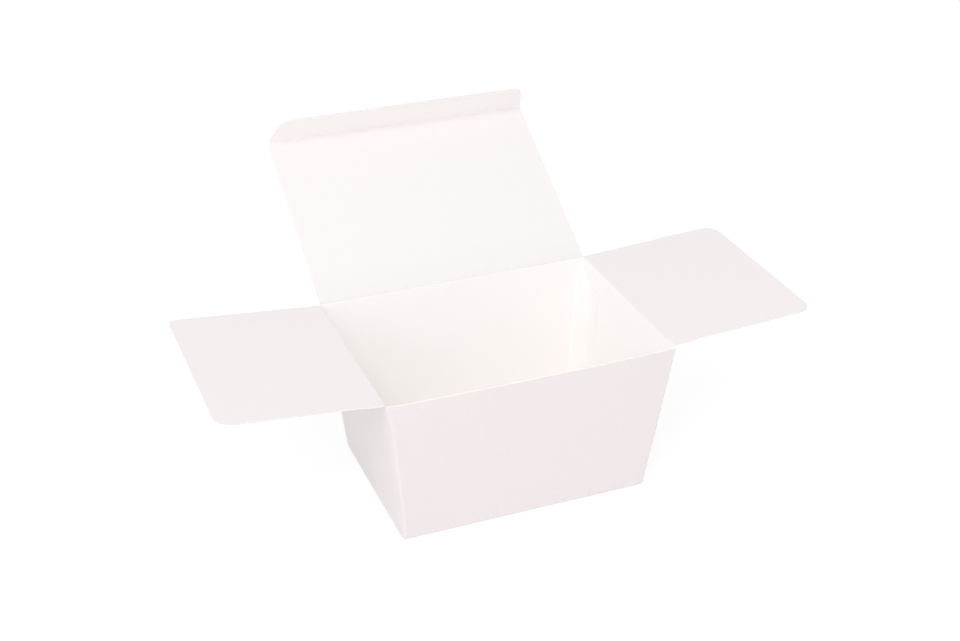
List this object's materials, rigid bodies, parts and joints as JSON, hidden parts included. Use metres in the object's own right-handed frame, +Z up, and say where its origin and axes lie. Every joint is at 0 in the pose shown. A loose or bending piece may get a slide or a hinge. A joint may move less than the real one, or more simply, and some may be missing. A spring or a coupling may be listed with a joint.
{
  "type": "ballotin box",
  "caption": "Open tapered folding carton for chocolates, with side dust flaps and a hinged lid that ends in a tuck tab.",
  "frame": {"origin": "middle of the base underside, on the surface the box stands on", "axes": "+X to the right flap, +Y to the back panel that carries the lid, +Z up; the front panel faces -Y"},
  "size_m": [0.2866, 0.1842, 0.1441],
  "materials": {
    "board_outside": "clay-coated white boxboard, soft sheen"
  },
  "bodies": {
    "tub": {"box_body": "board_outside"},
    "left_flap": {"left_flap": "board_outside"},
    "right_flap": {"right_flap": "board_outside"},
    "lid": {"lid": "board_outside"},
    "tuck_tab": {"tuck_tab": "board_outside"}
  },
  "joints": [
    {"name": "left_flap_crease", "type": "hinge", "parent": "tub", "child": "left_flap", "pos_m": [-0.0701, 0, 0.07787], "axis": [0, 1, 0], "range_deg": [-80, 176]},
    {"name": "right_flap_crease", "type": "hinge", "parent": "tub", "child": "right_flap", "pos_m": [0.0701, 0, 0.07787], "axis": [0, -1, 0], "range_deg": [-78, 176.6]},
    {"name": "lid_crease", "type": "hinge", "parent": "tub", "child": "lid", "pos_m": [0, 0.0497, 0.07863], "axis": [1, 0, 0], "range_deg": [-60, 149.6]},
    {"name": "tuck_tab_crease", "type": "hinge", "parent": "lid", "child": "tuck_tab", "pos_m": [0, 0.13451, 0.12838], "axis": [1, 0, 0], "range_deg": [-97, 3]}
  ]
}
